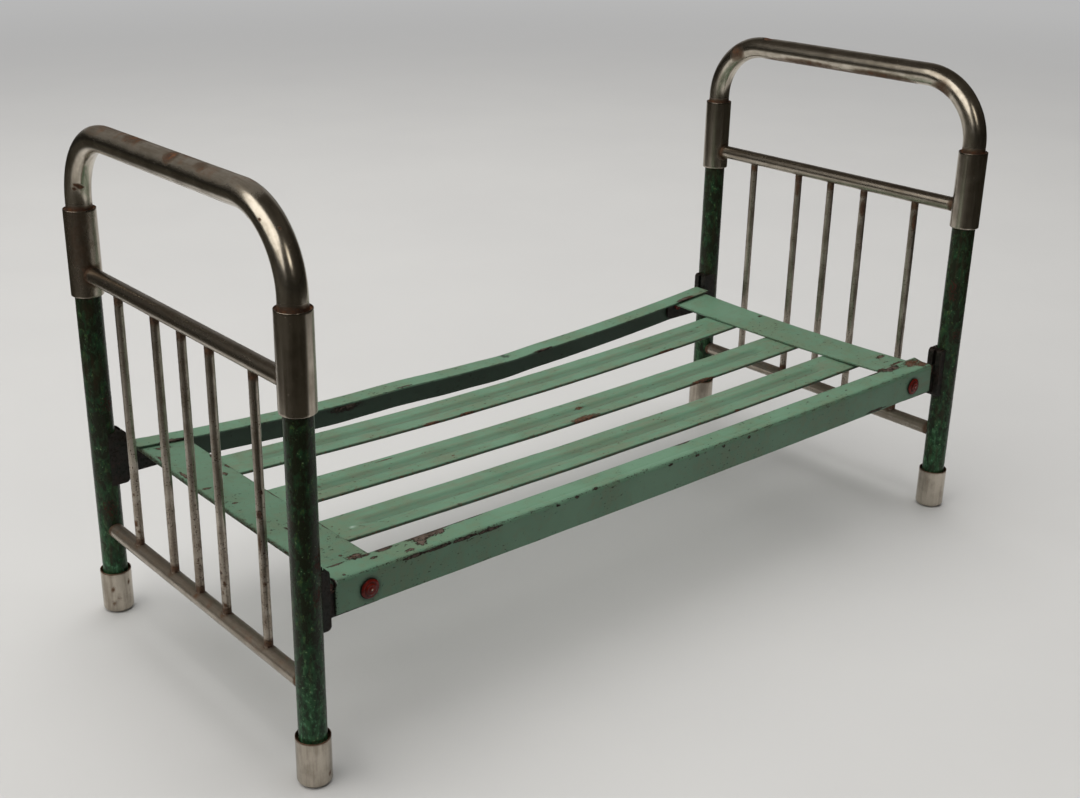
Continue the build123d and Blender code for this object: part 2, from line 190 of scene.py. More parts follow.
# Marks, listed one by one. Three numbers place one by shares of its piece's box along X, Y and Z.
# On an upright tube it is an angle in degrees, from +X towards +Y, and a share of the height.
# On a bow it is a share of the way along, from the front leg to the back leg, and an angle in
# degrees, from the bed's outer side towards the hoop's rim. Then come the reach along X, Y and
# Z in millimetres, and where it isn't 1 the strength. The material breaks up the outline.
MARKS = {
    "front_side_rail": [
        ((0.13, 0.85, 1.0), (9, 4, 2)),
        ((0.15, 0.8, 1.0), (4, 2.5, 2)),
        ((0.12, 0.5, 1.0), (3.5, 3, 2)),
        ((0.1, 0.3, 0.95), (3, 1.5, 2)),
        ((0.06, 0.6, 1.0), (2.5, 1.2, 2)),
        ((0.015, 0.2, 1.0), (1.2, 1, 2)),
        ((0.0, 0.05, 0.95), (0.8, 2.5, 2.5)),
        *row((0.02, 1.0, 1.0), (0.08, 0.9, 1.0), 3, (5, 1.6, 2)),
        *row((0.16, 1.0, 1.0), (0.2, 1.0, 1.0), 3, (5, 1, 2)),
        *row((0.1, 0.0, 0.9), (0.2, 0.0, 0.87), 4, (8, 1, 0.8)),
        *row((0.3, 0.0, 0.84), (0.36, 0.1, 0.9), 3, (1.6, 0.9, 0.9)),
        *row((0.48, 0.0, 0.83), (0.62, 0.0, 0.8), 4, (1.9, 0.9, 0.9)),
        ((0.53, 1.0, 0.95), (6, 1.4, 2)),
        *row((0.72, 0.75, 1.0), (0.83, 0.5, 1.0), 4, (1.5, 0.8, 2)),
        ((0.88, 0.0, 0.1), (9, 2, 0.9)),
        ((0.91, 1.0, 1.0), (7, 1.5, 2)),
        ((0.94, 0.85, 1.0), (8, 3, 2)),
        ((0.98, 0.7, 1.0), (10, 4.5, 2), 0.86),
        ((0.99, 0.35, 1.0), (5, 3.5, 2), 0.84),
    ],
    "back_side_rail": [
        ((0.05, 0.05, 0.95), (9, 1.6, 3)),
        ((0.12, 1.0, 0.85), (8, 2, 2.5)),
        ((0.32, 1.0, 0.4), (14, 2, 4)),
        *row((0.4, 0.1, 0.65), (0.65, 0.05, 0.68), 2, (8, 1.1, 3)),
        ((0.8, 1.0, 0.72), (10, 2, 2.5)),
        ((0.95, 0.1, 0.95), (9, 2.2, 3)),
    ],
    "foot_end_plate": [
        ((0.1, 0.85, 0.6), (1.4, 5, 3)),
        ((0.1, 0.72, 0.6), (1.2, 6, 3)),
        ((0.15, 0.62, 0.6), (3, 1.2, 3)),
        ((0.25, 0.5, 0.6), (2, 1.1, 3)),
        ((0.4, 0.92, 0.6), (6, 2, 3)),
        ((0.75, 0.68, 0.6), (1.8, 2.6, 3)),
        *row((1.0, 0.8, 0.6), (1.0, 0.72, 0.6), 2, (2.2, 3.5, 3)),
        *row((1.0, 0.5, 0.6), (1.0, 0.28, 0.6), 2, (0.8, 8, 3)),
        ((0.45, 0.3, 0.6), (1, 1.6, 3)),
        ((0.6, 0.1, 0.6), (1.3, 1, 3)),
        ((0.75, 0.08, 0.6), (5, 2.2, 3)),
    ],
    "head_end_plate": [
        ((0.1, 0.08, 0.7), (3.5, 2.6, 3)),
        ((0.65, 0.08, 0.7), (8, 3.4, 3)),
        ((0.75, 0.16, 0.7), (5, 2, 3)),
        ((0.85, 0.67, 0.7), (2, 2, 3)),
    ],
    "slat_1": [
        ((0.22, 0.3, 0.5), (1, 0.8, 9)),
        ((0.38, 1.0, 0.5), (3.5, 1, 9)),
        ((0.55, 1.0, 0.5), (9, 0.9, 9)),
        ((0.7, 0.0, 0.5), (2, 0.9, 9)),
    ],
    "slat_2": [
        ((0.52, 0.05, 0.4), (11, 3, 9), 0.88),
        ((0.54, 0.6, 0.4), (5, 1.6, 9), 0.84),
        ((0.75, 0.0, 0.5), (11, 2.2, 9), 0.88),
        ((0.22, 0.85, 0.5), (8, 0.6, 9)),
        ((0.3, 0.2, 0.5), (1.2, 0.8, 9)),
        ((0.47, 1.0, 0.5), (5, 0.8, 9)),
    ],
    "slat_3": [
        ((0.28, 0.4, 0.5), (2, 1, 9)),
        *row((0.35, 0.0, 0.5), (0.41, 0.0, 0.5), 2, (5, 1.2, 9)),
        ((0.64, 1.0, 0.5), (6, 0.8, 9)),
        ((0.8, 0.0, 0.5), (7, 1, 9)),
    ],
    "foot_bow": [
        ((0.2, 25), (0.6, 0.6, 0.6), 1.2),
        ((0.18, 75), (0.6, 0.6, 0.6), 1.3),
        ((0.23, -30), (0.4, 0.4, 0.4), 1.2),
        ((0.28, 180), (3, 9, 4), 0.8),
        ((0.38, 70), (3, 5, 3), 0.75),
        ((0.44, 125), (4, 16, 3), 0.8),
        ((0.47, 60), (3.6, 4.2, 3.6), 1.15),
        ((0.6, 90), (4.5, 8, 4), 0.95),
        ((0.68, 120), (5, 14, 3), 0.75),
        ((0.87, 300), (1.8, 1.6, 0.8), 1.45),
        ((0.875, 285), (1.6, 1.6, 0.9), 1.35),
        ((0.88, 310), (0.9, 1.2, 0.9), 1.3),
    ],
    "head_bow": [
        (NICK, (4, 3.6, 1.6), 1.5),
        *row((0.39, 225), (0.58, 225), 2, (3, 20, 2.5)),
        ((0.23, 215), (3, 6, 5)),
        ((0.78, 180), (5, 5, 5)),
    ],
    "foot_post_front": [
        ((305, 0.55), (3.4, 3.4, 8), 1.15),
        ((290, 0.47), (4, 4, 6)),
        ((335, 0.18), (4, 5, 6)),
    ],
    "foot_post_back": [
        ((250, 0.3), (5, 4, 8)),
        ((90, 0.38), (5, 3, 9)),
        ((300, 0.6), (5, 4, 8)),
        ((160, 0.7), (3, 4, 7)),
    ],
    "head_post_front": [
        ((315, 0.32), (4, 4, 9)),
        ((250, 0.56), (4, 3, 5)),
        ((200, 0.7), (4, 4, 9)),
    ],
    "head_post_back": [
        ((220, 0.4), (4, 4, 8)),
        ((90, 0.65), (4, 3, 10)),
    ],
    "foot_sleeve_back": [((235, 0.7), (7, 7, 26), 0.55)],
    "head_sleeve_front": [((240, 0.88), (0.8, 0.9, 0.8))],
    "foot_ferrule_front": [
        ((295, 0.28), (1.1, 1.1, 1)),
        ((255, 0.18), (0.8, 1, 0.8)),
    ],
    "foot_ferrule_back": [
        ((250, 0.42), (2, 1.6, 1.2)),
        ((230, 0.28), (1, 1.4, 1)),
        ((230, 0.6), (0.9, 1.4, 1)),
        ((295, 0.7), (0.9, 1.4, 1)),
    ],
    "foot_spindle_1": [
        ((215, 0.5), (1.2, 1.2, 1.7), 1.25),
        ((255, 0.58), (0.9, 0.9, 0.8), 1.2),
        ((200, 0.4), (0.8, 0.8, 4), 0.95),
        ((240, 0.25), (0.7, 0.7, 0.9), 1.2),
    ],
    "foot_spindle_2": [
        ((190, 0.17), (0.8, 0.8, 0.7), 1.2),
        ((235, 0.13), (0.7, 0.7, 0.9), 1.2),
        ((205, 0.1), (0.6, 0.6, 0.6), 1.2),
        ((225, 0.05), (0.8, 0.8, 0.8), 1.2),
    ],
    "foot_spindle_5": [
        ((200, 0.1), (0.9, 0.9, 1.1), 1.3),
        ((240, 0.07), (0.7, 0.7, 0.7), 1.2),
        ((210, 0.22), (0.6, 0.6, 0.8), 1.1),
    ],
    "head_spindle_1": [((230, 0.9), (1.2, 1.2, 5), 0.9)],
    "head_spindle_2": [((220, 0.91), (1.4, 1.4, 4.5), 1.1)],
    "head_spindle_4": [((215, 0.93), (1.2, 1.2, 5), 0.9)],
}


def place_in_box(node, x_share, y_share, z_share):
    low, high = box_mm(node)
    shares = (x_share, y_share, z_share)
    return Vector([low[k] + (high[k] - low[k]) * shares[k] for k in range(3)])


def place_on_tube(node, angle, height_share):
    """The point of an upright tube's surface at this angle and share of its height."""
    low, high, radius, x, y = upright(node)
    turn = math.radians(angle)
    z = low.z + (high.z - low.z) * height_share
    return Vector((x + radius * math.cos(turn), y + radius * math.sin(turn), z))


def place_on_bow(path, radius, outward, share, angle):
    """The point of a bow's surface at this share of its path and this angle around it."""
    index = min(max(1, round(share * (len(path) - 1))), len(path) - 2)
    along = (path[index + 1] - path[index - 1]).normalized()
    rim = X_AXIS.cross(along)
    turn = math.radians(angle)
    out = Vector((outward, 0, 0))
    return path[index] + radius * (math.cos(turn) * out + math.sin(turn) * rim)


def spot_wear(places_and_reaches):
    """How strongly marks wear the surface at a point: 0 or more."""

    def wear(point):
        strongest = 0.0
        for place, reach, *strength in places_and_reaches:
            away = point - place
            distance_2 = sum((away[k] / reach[k]) ** 2 for k in range(3))
            full = strength[0] if strength else 1.0
            strongest = max(strongest, full * (1 - distance_2 / 2))
        return strongest

    return wear


def node_wear(node):
    """The wear of the marks on a sheet or an upright tube."""
    spots = []
    for where, *rest in MARKS.get(node, []):
        place = place_in_box if len(where) == 3 else place_on_tube
        spots.append((place(node, *where), *rest))
    return spot_wear(spots)


def bow_wear(node, path, radius, outward):
    """The wear of the marks on a bow."""
    spots = [
        (place_on_bow(path, radius, outward, *where), *rest) for where, *rest in MARKS[node]
    ]
    return spot_wear(spots)


# ------------------------------------------------------------------ mesh building
def finish_mesh(mesh, name, material, marks):
    """Turn a bmesh drawn in millimetres into a shaded mesh that carries its wear marks.

    A mark is a function of the place, or one number for the whole mesh.
    """
    bmesh.ops.recalc_face_normals(mesh, faces=mesh.faces)
    points = [vertex.co.copy() for vertex in mesh.verts]
    bmesh.ops.scale(mesh, vec=(MM, MM, MM), verts=mesh.verts)
    data = bpy.data.meshes.new(name)
    mesh.to_mesh(data)
    mesh.free()
    for label, amount in marks.items():
        values = data.attributes.new(label, "FLOAT", "POINT").data
        for index, point in enumerate(points):
            values[index].value = amount(point) if callable(amount) else amount
    data.polygons.foreach_set("use_smooth", [True] * len(data.polygons))
    data.set_sharp_from_angle(angle=math.radians(40))
    data.materials.append(material)
    return data


def sheet_mesh(stations, section, place, thickness):
    """A folded sheet: its section placed at every station, on the side that shows and behind."""
    mesh = bmesh.new()
    front, rear = (
        [[mesh.verts.new(place(at, *spot, depth)) for spot in section] for at in stations]
        for depth in (0.0, thickness)
    )
    last_row, last_column = len(stations) - 1, len(section) - 1
    for r in range(last_row):
        for c in range(last_column):
            mesh.faces.new((front[r][c], front[r][c + 1], front[r + 1][c + 1], front[r + 1][c]))
            mesh.faces.new((rear[r][c], rear[r + 1][c], rear[r + 1][c + 1], rear[r][c + 1]))
    for r in range(last_row):
        for c in (0, last_column):
            mesh.faces.new((front[r][c], front[r + 1][c], rear[r + 1][c], rear[r][c]))
    for c in range(last_column):
        for r in (0, last_row):
            mesh.faces.new((front[r][c], front[r][c + 1], rear[r][c + 1], rear[r][c]))
    return mesh


def ring_mesh(rings, closed):
    """Join rings of points into one skin, closed into a loop or capped at both ends."""
    mesh = bmesh.new()
    loops = [[mesh.verts.new(point) for point in ring] for ring in rings]
    around = len(loops[0])
    pairs = list(zip(loops, loops[1:]))
    if closed:
        pairs.append((loops[-1], loops[0]))
    for low, high in pairs:
        for k in range(around):
            after = (k + 1) % around
            mesh.faces.new((low[k], low[after], high[after], high[k]))
    if not closed:
        mesh.faces.new(loops[0])
        mesh.faces.new(loops[-1])
    return mesh


def circle(centre, across, up, radius, around, relief):
    """A ring of points round a centre, pushed in and out by the relief."""
    points = []
    for k in range(around):
        turn = 2 * math.pi * k / around
        way = across * math.cos(turn) + up * math.sin(turn)
        points.append(centre + way * (radius + relief(centre + way * radius)))
    return points


def no_relief(_point):
    return 0.0


def below(amount, limit):
    """Relief that only ever goes inwards, so that the surface keeps to its CAD size."""
    return min(0.0, amount - limit)


def tube_rings(path, radius, around, relief=no_relief):
    """Rings of points along a path that lies across the bed, in a plane of constant X."""
    rings = []
    for index, centre in enumerate(path):
        before = path[max(index - 1, 0)]
        after = path[min(index + 1, len(path) - 1)]
        up = X_AXIS.cross((after - before).normalized())
        rings.append(circle(centre, X_AXIS, up, radius, around, relief))
    return rings


def pipe_mesh(path, radius, wall, relief, around=48):
    """A hollow tube: its outer skin, its bore and the two cut ends."""
    outside = tube_rings(path, radius, around, relief)
    inside = tube_rings(path, radius - wall, around)
    return ring_mesh(outside + inside[::-1], closed=True)


def turned_mesh(centre, axis, profile, around, relief, closed):
    """A turned shape from a profile of (radius, height along the axis)."""
    up = axis.cross(X_AXIS)
    rings = [circle(centre + axis * height, X_AXIS, up, radius, around, relief)
             for radius, height in profile]
    return ring_mesh(rings, closed)


def arc(centre_r, centre_h, radius, start, stop, count):
    """Profile points on an arc, its angles in degrees from the +radius direction."""
    points = []
    for k in range(count + 1):
        angle = math.radians(start + (stop - start) * k / count)
        points.append((centre_r + radius * math.cos(angle), centre_h + radius * math.sin(angle)))
    return points


def add_piece(node, mesh, material, marks, soften=0.0):
    """Put a finished mesh in place of its CAD node, riding on the same body."""
    data = finish_mesh(mesh, f"{node}_skin", material, marks)
    piece = bpy.data.objects.new(f"{node}_look", data)
    bpy.context.collection.objects.link(piece)
    if soften:
        bevel = piece.modifiers.new("cut_edges", "BEVEL")
        bevel.width = soften * MM
        bevel.segments = 2
        bevel.limit_method = "ANGLE"
        bevel.angle_limit = math.radians(50)
        bevel.harden_normals = False
    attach(piece, BODY_OF[node])
    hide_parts(node)
    return piece


# ------------------------------------------------------------------ procedural finishes
RUST_DARK = (0.030, 0.014, 0.009)
RUST_BROWN = (0.085, 0.038, 0.020)
BARE_METAL = (0.112, 0.084, 0.068)
SEAT_RUST = (0.150, 0.064, 0.025)
# Tan of the dust and painted sheen on the tops of the tubes.
TAN_DUST_AND_SHEEN = (0.115, 0.090, 0.064)


class Nodes:
    """A node tree built with short calls."""

    def __init__(self, tree):
        self.tree = tree

    def put(self, socket, value):
        """Link a socket to another, or set its plain value."""
        if isinstance(value, bpy.types.NodeSocket):
            self.tree.links.new(value, socket)
        elif isinstance(value, tuple) and socket.type == "RGBA":
            socket.default_value = (*value, 1.0)
        else:
            socket.default_value = value

    def add(self, kind, output, inputs=None, **settings):
        """Add a node with these settings and inputs, and give one of its outputs."""
        made = self.tree.nodes.new(kind)
        for key, value in settings.items():
            setattr(made, key, value)
        for key, value in (inputs or {}).items():
            self.put(made.inputs[key], value)
        return made.outputs[output]

    def math(self, operation, a, b=0.0):
        return self.add("ShaderNodeMath", "Value", {0: a, 1: b}, operation=operation)

    def times(self, a, b):
        return self.math("MULTIPLY", a, b)

    def total(self, *terms):
        """The sum of (amount, weight) terms."""
        result = 0.0
        for amount, weight in terms:
            result = self.math("ADD", result, self.times(amount, weight))
        return result

    def strongest(self, first, *others):
        for other in others:
            first = self.math("MAXIMUM", first, other)
        return first

    def axis(self, vector, name):
        return self.add("ShaderNodeSeparateXYZ", name, {0: vector})

    def ramp(self, value, low, high):
        """0 below low, 1 above high, even between."""
        inputs = {"Value": value, "From Min": low, "From Max": high}
        return self.add("ShaderNodeMapRange", "Result", inputs)

    def step(self, value, low, high):
        """0 below low, 1 above high, smooth between. Low above high turns it over."""
        inputs = {"Value": value, "From Min": low, "From Max": high}
        smooth = "SMOOTHSTEP"
        return self.add("ShaderNodeMapRange", "Result", inputs, interpolation_type=smooth)

    def spread(self, value, low, high):
        """Stretch a 0 to 1 value to run from low to high."""
        inputs = {"Value": value, "To Min": low, "To Max": high}
        return self.add("ShaderNodeMapRange", "Result", inputs)

    def mix(self, share, a, b):
        """Colour a, or b where the share is 1."""
        return self.add("ShaderNodeMix", 2, {0: share, 6: a, 7: b}, data_type="RGBA")

    def blend(self, share, a, b):
        """Value a, or b where the share is 1."""
        return self.add("ShaderNodeMix", 0, {0: share, 2: a, 3: b}, data_type="FLOAT")

    def ray(self, kind):
        """1 for one kind of light ray, such as the camera's or one mirrored in metal."""
        return self.add("ShaderNodeLightPath", f"Is {kind} Ray")


class Finish(Nodes):
    """A procedural material. Its places are in millimetres."""

    def __init__(self, name):
        self.material = bpy.data.materials.new(name)
        self.material.use_nodes = True
        super().__init__(self.material.node_tree)
        self.tree.nodes.clear()
        self.shader = self.tree.nodes.new("ShaderNodeBsdfPrincipled")
        output = self.tree.nodes.new("ShaderNodeOutputMaterial")
        self.tree.links.new(self.shader.outputs["BSDF"], output.inputs["Surface"])
        metres = self.add("ShaderNodeTexCoord", "Object")
        self.place = self.vector("SCALE", {0: metres, "Scale": 1 / MM})

    def vector(self, operation, inputs, output="Vector"):
        return self.add("ShaderNodeVectorMath", output, inputs, operation=operation)

    def set(self, **inputs):
        """Set the shader's inputs, named with underscores for spaces."""
        for key, value in inputs.items():
            self.put(self.shader.inputs[key.replace("_", " ")], value)

    def mark(self, label):
        """A wear mark stored on the mesh, or 0 where the mesh has none."""
        return self.add("ShaderNodeAttribute", "Fac", attribute_name=label)

    def noise(self, size, detail=4.0, roughness=0.55, stretch=(1, 1, 1), distortion=0.0):
        """Noise around 0.5 with features about this many millimetres across."""
        place = self.vector("DIVIDE", {0: self.place, 1: stretch})
        inputs = {"Vector": place, "Scale": 1 / size, "Detail": detail}
        inputs |= {"Roughness": roughness, "Distortion": distortion}
        return self.add("ShaderNodeTexNoise", "Fac", inputs)

    def bump(self, height, depth, below=None):
        """A surface normal raised by the height times a depth in millimetres."""
        inputs = {"Height": height, "Distance": depth * MM, "Strength": 1.0}
        if below is not None:
            inputs["Normal"] = below
        return self.add("ShaderNodeBump", "Normal", inputs)


def nickel(name, bright, dull, gloss, pitting, grain):
    """Worn nickel plate: cloudy tarnish, fine scratches, rust freckles, brown stains, and a dull
    tan film on the tops, partly dust and partly a painted sheen.

    The grain is how much the brush marks are drawn out along X, Y and Z.
    """
    f = Finish(name)
    wear = f.mark("wear")
    cloud = f.noise(11, detail=5, roughness=0.6)
    ragged = f.noise(0.9, detail=7, roughness=0.68)
    coarse = f.noise(3.4, detail=5, roughness=0.62)
    freckle = f.noise(0.75, detail=5, roughness=0.6)
    patch = f.noise(7, detail=3)
    band = f.noise(1.9, detail=4, stretch=grain)
    scratch = f.noise(0.35, detail=2, stretch=grain)
    tarnish = f.step(f.total((cloud, 0.6), (band, 0.5)), 0.42, 0.70)
    plate = f.mix(tarnish, bright, dull)
    film = f.step(f.total((wear, 0.85), (patch, 0.35), (coarse, 0.45)), 0.50, 1.05)
    plate = f.mix(f.times(film, 0.85), plate, (0.125, 0.072, 0.040))
    # Dust and painted sheen: a dull tan, less metallic film on the tops of the tubes, partly dust
    # and partly a painted sheen of light.
    dust_and_sheen = f.step(f.total((f.mark("dust_and_sheen"), 1.0), (coarse, 0.35), (band, 0.65)), 0.85, 1.75)
    smear = f.step(f.total((patch, 0.7), (coarse, 0.5)), 0.60, 0.80)
    plate = f.mix(f.times(dust_and_sheen, 0.85), plate, f.mix(smear, TAN_DUST_AND_SHEEN, SEAT_RUST))
    freckle_level = f.total((freckle, 1.0), (patch, 0.16), (wear, 0.10))
    freckles = f.step(freckle_level, 0.80 - pitting, 0.83 - pitting)
    stain = f.step(f.total((wear, 0.50), (ragged, 0.70), (coarse, 0.50)), 0.92, 1.16)
    rust = f.strongest(freckles, stain)
    scab = f.mix(f.step(ragged, 0.40, 0.62), RUST_DARK, RUST_BROWN)
    scab = f.mix(f.times(stain, f.step(coarse, 0.42, 0.66)), scab, SEAT_RUST)
    f.set(Base_Color=f.mix(rust, plate, scab))
    f.set(Metallic=f.spread(f.strongest(rust, f.times(dust_and_sheen, 0.5)), 1.0, 0.25))
    base_gloss = f.total((cloud, 0.13), (band, 0.09), (film, 0.22), (dust_and_sheen, 0.20))
    f.set(Roughness=f.blend(rust, f.math("ADD", base_gloss, gloss), 0.75))
    fine = f.bump(scratch, 0.004)
    f.set(Normal=f.bump(f.total((rust, -0.6), (coarse, 0.25)), 0.05, fine))
    return f.material


def green_enamel():
    """Dark marbled enamel: green flecks in near-black, red-brown rust where it has worn."""
    f = Finish("green_enamel")
    wear = f.mark("wear")
    level = f.axis(f.place, "Z")
    broad = f.noise(22, detail=3)
    marble = f.noise(3.2, detail=6, roughness=0.64, stretch=(1, 1, 1.8), distortion=0.35)
    fleck = f.noise(1.5, detail=5, roughness=0.65, stretch=(1, 1, 1.6))
    pale = f.noise(1.0, detail=5, roughness=0.6)
    streak = f.noise(1.8, detail=4, stretch=(1, 1, 9))
    ragged = f.noise(1.2, detail=7, roughness=0.72)
    low_down = f.step(level, 85.0, 25.0)
    lift = f.total((marble, 1.0), (broad, 0.30), (streak, 0.30), (low_down, 0.13))
    colour = f.mix(f.step(lift, 0.72, 0.90), (0.0150, 0.0190, 0.0100), (0.016, 0.045, 0.0200))
    colour = f.mix(f.step(lift, 0.86, 1.06), colour, (0.028, 0.088, 0.036))
    flecks = f.step(f.total((fleck, 1.0), (marble, 0.5), (low_down, 0.03)), 0.84, 0.93)
    colour = f.mix(flecks, colour, f.mix(low_down, (0.050, 0.085, 0.028), (0.062, 0.160, 0.085)))
    bits = f.step(f.total((pale, 1.0), (marble, 0.35)), 0.840, 0.885)
    colour = f.mix(bits, colour, (0.19, 0.29, 0.15))
    brown = f.step(f.total((streak, 0.7), (broad, 0.5)), 0.58, 0.76)
    colour = f.mix(f.times(brown, 0.65), colour, (0.028, 0.019, 0.011))
    stain = f.step(f.total((wear, 0.42), (ragged, 0.95), (marble, 0.45)), 1.00, 1.14)
    freckles = f.step(f.noise(0.9, detail=5), 0.665, 0.69)
    rust = f.strongest(f.times(stain, 0.85), freckles)
    rusty = f.mix(f.step(ragged, 0.45, 0.65), (0.016, 0.008, 0.006), (0.066, 0.017, 0.011))
    f.set(Base_Color=f.mix(rust, colour, rusty))
    f.set(Roughness=f.blend(rust, f.spread(marble, 0.16, 0.40), 0.70))
    f.set(Specular_IOR_Level=0.14)
    ripple = f.bump(f.noise(5.0, detail=3), 0.10)
    f.set(Normal=f.bump(f.total((marble, 0.7), (rust, -0.5), (ragged, 0.2)), 0.09, ripple))
    return f.material


def sage_paint():
    """Brushed sage green gloss paint: chips to brown metal, grime and scuffs at the edges, painted
    shade in grooves, on lips and on hidden faces, a painted shadow round the chips, and small
    painted highlights.
    """
    f = Finish("sage_paint")
    wear = f.mark("wear")
    edge = f.mark("edge")
    shade = f.mark("shade")
    rusty = f.mark("rusty")
    broad = f.noise(38, detail=3)
    mottle = f.noise(4.5, detail=6, roughness=0.62)
    coarse = f.noise(3.0, detail=6, roughness=0.60)
    ragged = f.noise(1.0, detail=8, roughness=0.68)
    tiny = f.noise(0.7, detail=5, roughness=0.6)
    dash = f.noise(1.1, detail=5, roughness=0.62, stretch=(2.2, 1.6, 1))
    brush = f.noise(0.55, detail=3, stretch=(26, 1, 1))
    paint = f.mix(f.step(broad, 0.34, 0.68), (0.125, 0.230, 0.153), (0.101, 0.196, 0.128))
    olive = f.times(f.step(f.total((mottle, 0.6), (broad, 0.5)), 0.50, 0.68), 0.55)
    paint = f.mix(olive, paint, (0.140, 0.180, 0.112))
    dirt = f.step(f.noise(2.6, detail=5, stretch=(7, 1, 1)), 0.46, 0.66)
    dirt = f.times(f.times(dirt, rusty), 0.55)
    paint = f.mix(dirt, paint, (0.150, 0.165, 0.112))
    grime = f.step(f.total((edge, 0.50), (wear, 0.35), (mottle, 0.7)), 0.55, 1.0)
    paint = f.mix(f.times(grime, 0.62), paint, (0.052, 0.066, 0.044))
    # Painted shade, partly grime: the paint goes dark green where the shade mark is high.
    paint = f.mix(f.times(shade, 0.85), paint, (0.022, 0.040, 0.028))
    # Painted highlight: pale paint where a small glint of light is drawn.
    paint = f.mix(f.mark("painted_highlight"), paint, (0.55, 0.66, 0.58))
    level = f.total((wear, 0.60), (edge, 0.10), (ragged, 0.80), (coarse, 0.40))
    chip = f.step(level, 1.010, 1.025)
    specks = f.step(f.total((tiny, 1.0), (mottle, 0.12), (edge, 0.14)), 0.745, 0.765)
    dashes = f.step(f.total((dash, 1.0), (broad, 0.20), (edge, 0.03)), 0.745, 0.765)
    bare = f.strongest(chip, specks, f.times(dashes, 0.7))
    # Painted shadow: a dark outline round each chip, for the shade at the paint's broken edge.
    ring = f.step(level, 0.955, 1.010)
    paint = f.mix(f.times(ring, 0.70), paint, (0.035, 0.024, 0.016))
    scab = f.mix(f.step(tiny, 0.50, 0.68), (0.013, 0.010, 0.007), (0.042, 0.023, 0.016))
    deep = f.step(level, 1.06, 1.14)
    metal = f.mix(f.times(deep, f.step(coarse, 0.40, 0.55)), scab, BARE_METAL)
    metal = f.mix(f.times(edge, 0.9), metal, (0.013, 0.009, 0.007))
    orange = f.times(rusty, f.step(tiny, 0.42, 0.62))
    metal = f.mix(orange, metal, (0.130, 0.056, 0.027))
    f.set(Base_Color=f.mix(bare, paint, metal))
    glossy = f.total((mottle, 0.20), (broad, 0.12), (grime, 0.22))
    f.set(Roughness=f.blend(bare, f.math("ADD", glossy, 0.18), 0.80))
    f.set(Specular_IOR_Level=0.24)
    peel = f.bump(f.noise(1.6, detail=3), 0.012)
    brushed = f.bump(brush, 0.010, peel)
    f.set(Normal=f.bump(f.total((bare, -1.0), (ragged, 0.12)), 0.11, brushed))
    return f.material


def rusted_iron(name, scale_and_glints):
    """Near-black iron with red-brown scale and pale flecks, more of both as the second argument
    rises. On the shoulders the pale flecks are partly painted glints of light.
    """
    f = Finish(name)
    scale = f.noise(1.6, detail=8, roughness=0.7)
    patch = f.noise(6, detail=4)
    dark = f.mix(f.step(patch, 0.4, 0.62), (0.006, 0.007, 0.004), (0.013, 0.008, 0.005))
    colour = f.mix(f.step(scale, 0.57 - scale_and_glints, 0.72 - scale_and_glints), dark, (0.060, 0.021, 0.012))
    # Pale flecks of rust; on the shoulders, where there are more, they are partly painted glints
    # of light on the worn edge.
    pale_flakes_and_glints = f.step(f.noise(0.8, detail=5), 0.76 - scale_and_glints, 0.80 - scale_and_glints)
    colour = f.mix(pale_flakes_and_glints, colour, (0.26, 0.17, 0.11))
    f.set(Base_Color=colour)
    f.set(Metallic=f.spread(f.step(scale, 0.40, 0.52), 0.55, 0.1))
    f.set(Roughness=f.spread(scale, 0.42, 0.85))
    f.set(Normal=f.bump(f.total((scale, 1.0), (patch, 0.6)), 0.10))
    return f.material


def rivet_paint():
    """Dark red paint, rusty round its edge, and pale on its boss: partly paint rubbed off the high
    place, partly a painted highlight.
    """
    f = Finish("red_rivet_paint")
    wear = f.mark("wear")
    edge = f.mark("edge")
    ragged = f.noise(0.6, detail=7, roughness=0.65)
    mottle = f.noise(2.4, detail=4)
    red = f.mix(f.step(mottle, 0.38, 0.64), (0.155, 0.011, 0.006), (0.075, 0.007, 0.004))
    dirt = f.step(f.total((edge, 0.8), (ragged, 0.5)), 0.62, 0.95)
    red = f.mix(dirt, red, (0.012, 0.006, 0.004))
    # The pale spot on the boss is partly rubbed paint and partly a painted highlight.
    bare = f.step(f.total((wear, 0.7), (ragged, 0.8)), 0.93, 0.98)
    f.set(Base_Color=f.mix(bare, red, (0.50, 0.36, 0.28)))
    f.set(Metallic=f.times(bare, 0.3))
    f.set(Roughness=f.blend(dirt, f.spread(ragged, 0.08, 0.34), 0.70))
    f.set(Specular_IOR_Level=0.18)
    f.set(Normal=f.bump(f.total((ragged, 0.6), (bare, -0.5)), 0.10))
    return f.material


BOW_NICKEL = nickel(
    "bow_nickel", (0.62, 0.565, 0.48), (0.35, 0.31, 0.25), 0.12, 0.03, (1, 9, 9)
)
COLLAR_NICKEL = nickel(
    "collar_nickel", (0.50, 0.45, 0.38), (0.30, 0.26, 0.21), 0.075, 0.02, (1, 1, 12)
)
BAR_NICKEL = nickel(
    "bar_nickel", (0.42, 0.375, 0.315), (0.28, 0.24, 0.19), 0.17, 0.04, (1, 12, 1)
)
SPINDLE_NICKEL = nickel(
    "spindle_nickel", (0.44, 0.395, 0.335), (0.24, 0.205, 0.165), 0.20, 0.115, (1, 1, 10)
)
ENAMEL = green_enamel()
SAGE = sage_paint()
IRON = rusted_iron("rusted_iron", 0.0)
# Iron for the hook plates' shoulders: more scale, and more pale flecks that are partly painted
# glints.
SCALED_IRON_AND_GLINTS = rusted_iron("scaled_iron_and_glints", 0.14)
RIVET_RED = rivet_paint()


